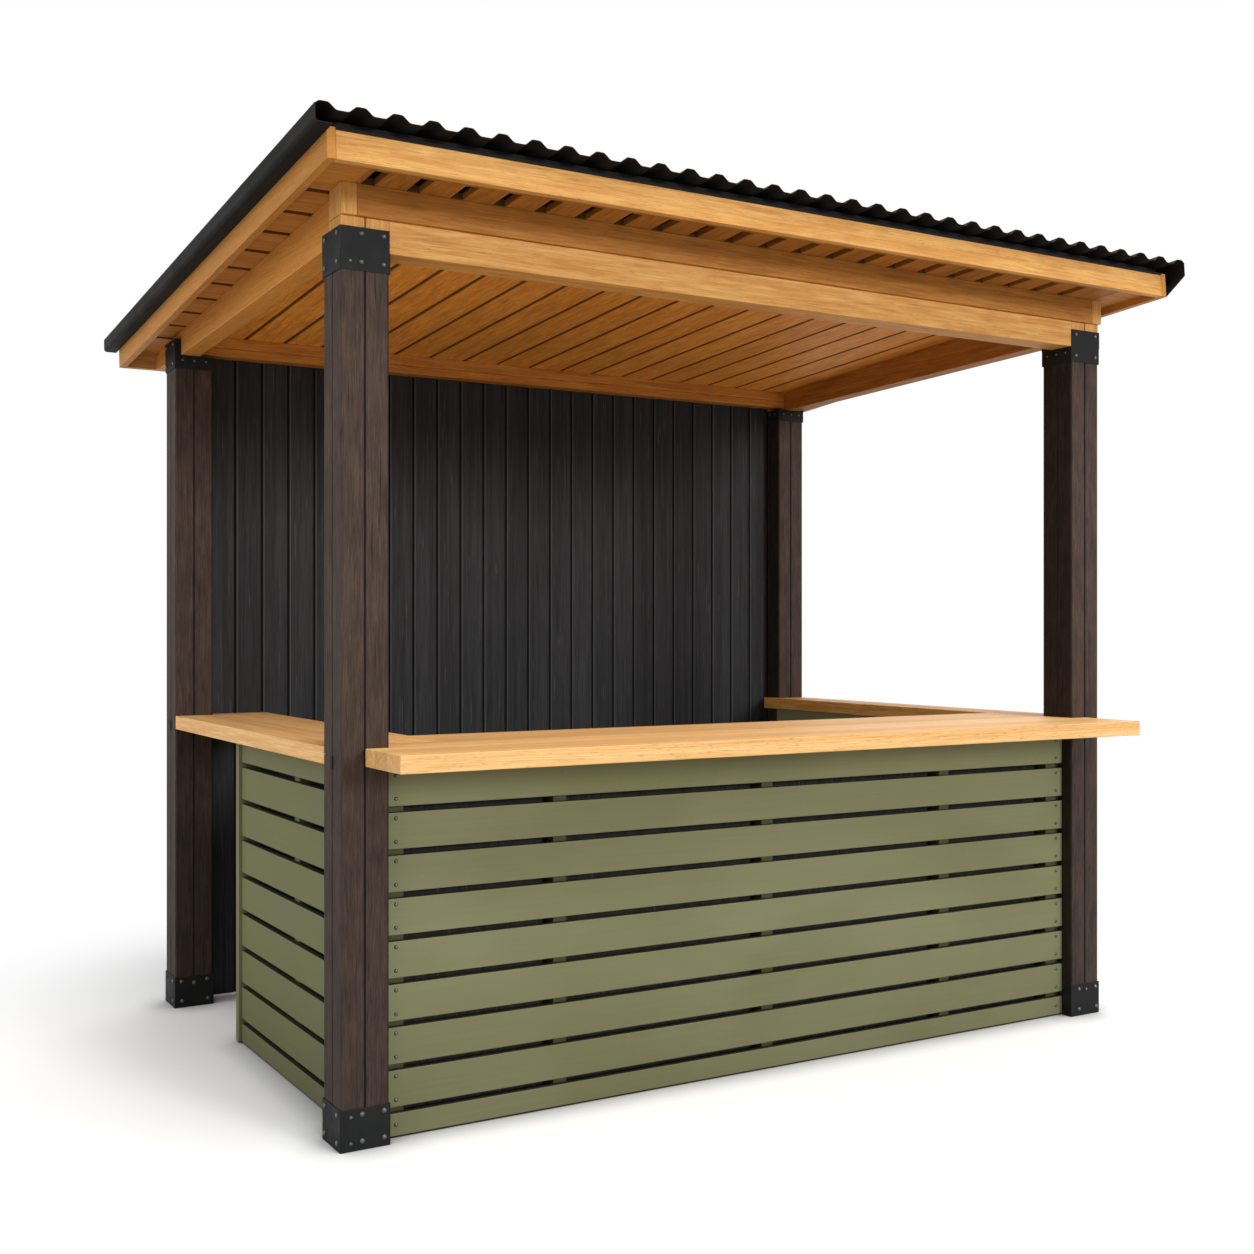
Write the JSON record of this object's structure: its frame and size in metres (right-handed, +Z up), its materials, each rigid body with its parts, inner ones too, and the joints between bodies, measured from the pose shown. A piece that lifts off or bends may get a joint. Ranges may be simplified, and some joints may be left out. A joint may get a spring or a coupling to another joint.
{
  "type": "garden bar",
  "caption": "Open-sided timber garden bar with a lean-to ribbed metal roof, a boarded back wall and a U-shaped counter on slatted panels with a way in at the left.",
  "frame": {"origin": "on the ground under the middle of the roof", "axes": "+Z up, +X along the front to the right, +Y from the serving side to the back wall"},
  "size_m": [3.27, 2.5484, 2.7664],
  "materials": {
    "natural_wood": "oiled, satin",
    "stained_post": "dark brown stain, matt",
    "green_paint": "painted, eggshell",
    "charcoal_board": "stained, matt",
    "black_steel": "powder coated, matt",
    "black_sheet": "coil coated, satin"
  },
  "bodies": {
    "root": {"back_wall": "charcoal_board", "back_wall_rails": "charcoal_board", "barge_board_left": "natural_wood", "barge_board_right": "natural_wood", "cap_front_left": "black_steel", "cap_front_right": "black_steel", "cap_rear_left": "black_steel", "cap_rear_right": "black_steel", "ceiling_boards": "natural_wood", "corner_blocks": "natural_wood", "counter_front": "natural_wood", "counter_left": "natural_wood", "counter_right": "natural_wood", "eave_flashings": "black_sheet", "fascia_front": "natural_wood", "fascia_rear": "natural_wood", "front_beam_lower": "natural_wood", "front_beam_upper": "natural_wood", "front_slats": "green_paint", "front_uprights": "green_paint", "left_slats": "green_paint", "left_uprights": "green_paint", "panel_linings": "charcoal_board", "post_front_left": "stained_post", "post_front_right": "stained_post", "post_heads": "natural_wood", "post_rear_left": "stained_post", "post_rear_right": "stained_post", "rear_beam": "natural_wood", "right_slats": "green_paint", "right_uprights": "green_paint", "roof_battens": "natural_wood", "roof_sheet": "black_sheet", "shoe_front_left": "black_steel", "shoe_front_right": "black_steel", "shoe_rear_left": "black_steel", "shoe_rear_right": "black_steel", "side_beam_left": "natural_wood", "side_beam_right": "natural_wood", "soffit_front": "natural_wood", "soffit_left": "natural_wood", "soffit_rear": "natural_wood", "soffit_right": "natural_wood", "verge_flashing_left": "black_sheet", "verge_flashing_right": "black_sheet"}
  },
  "joints": []
}
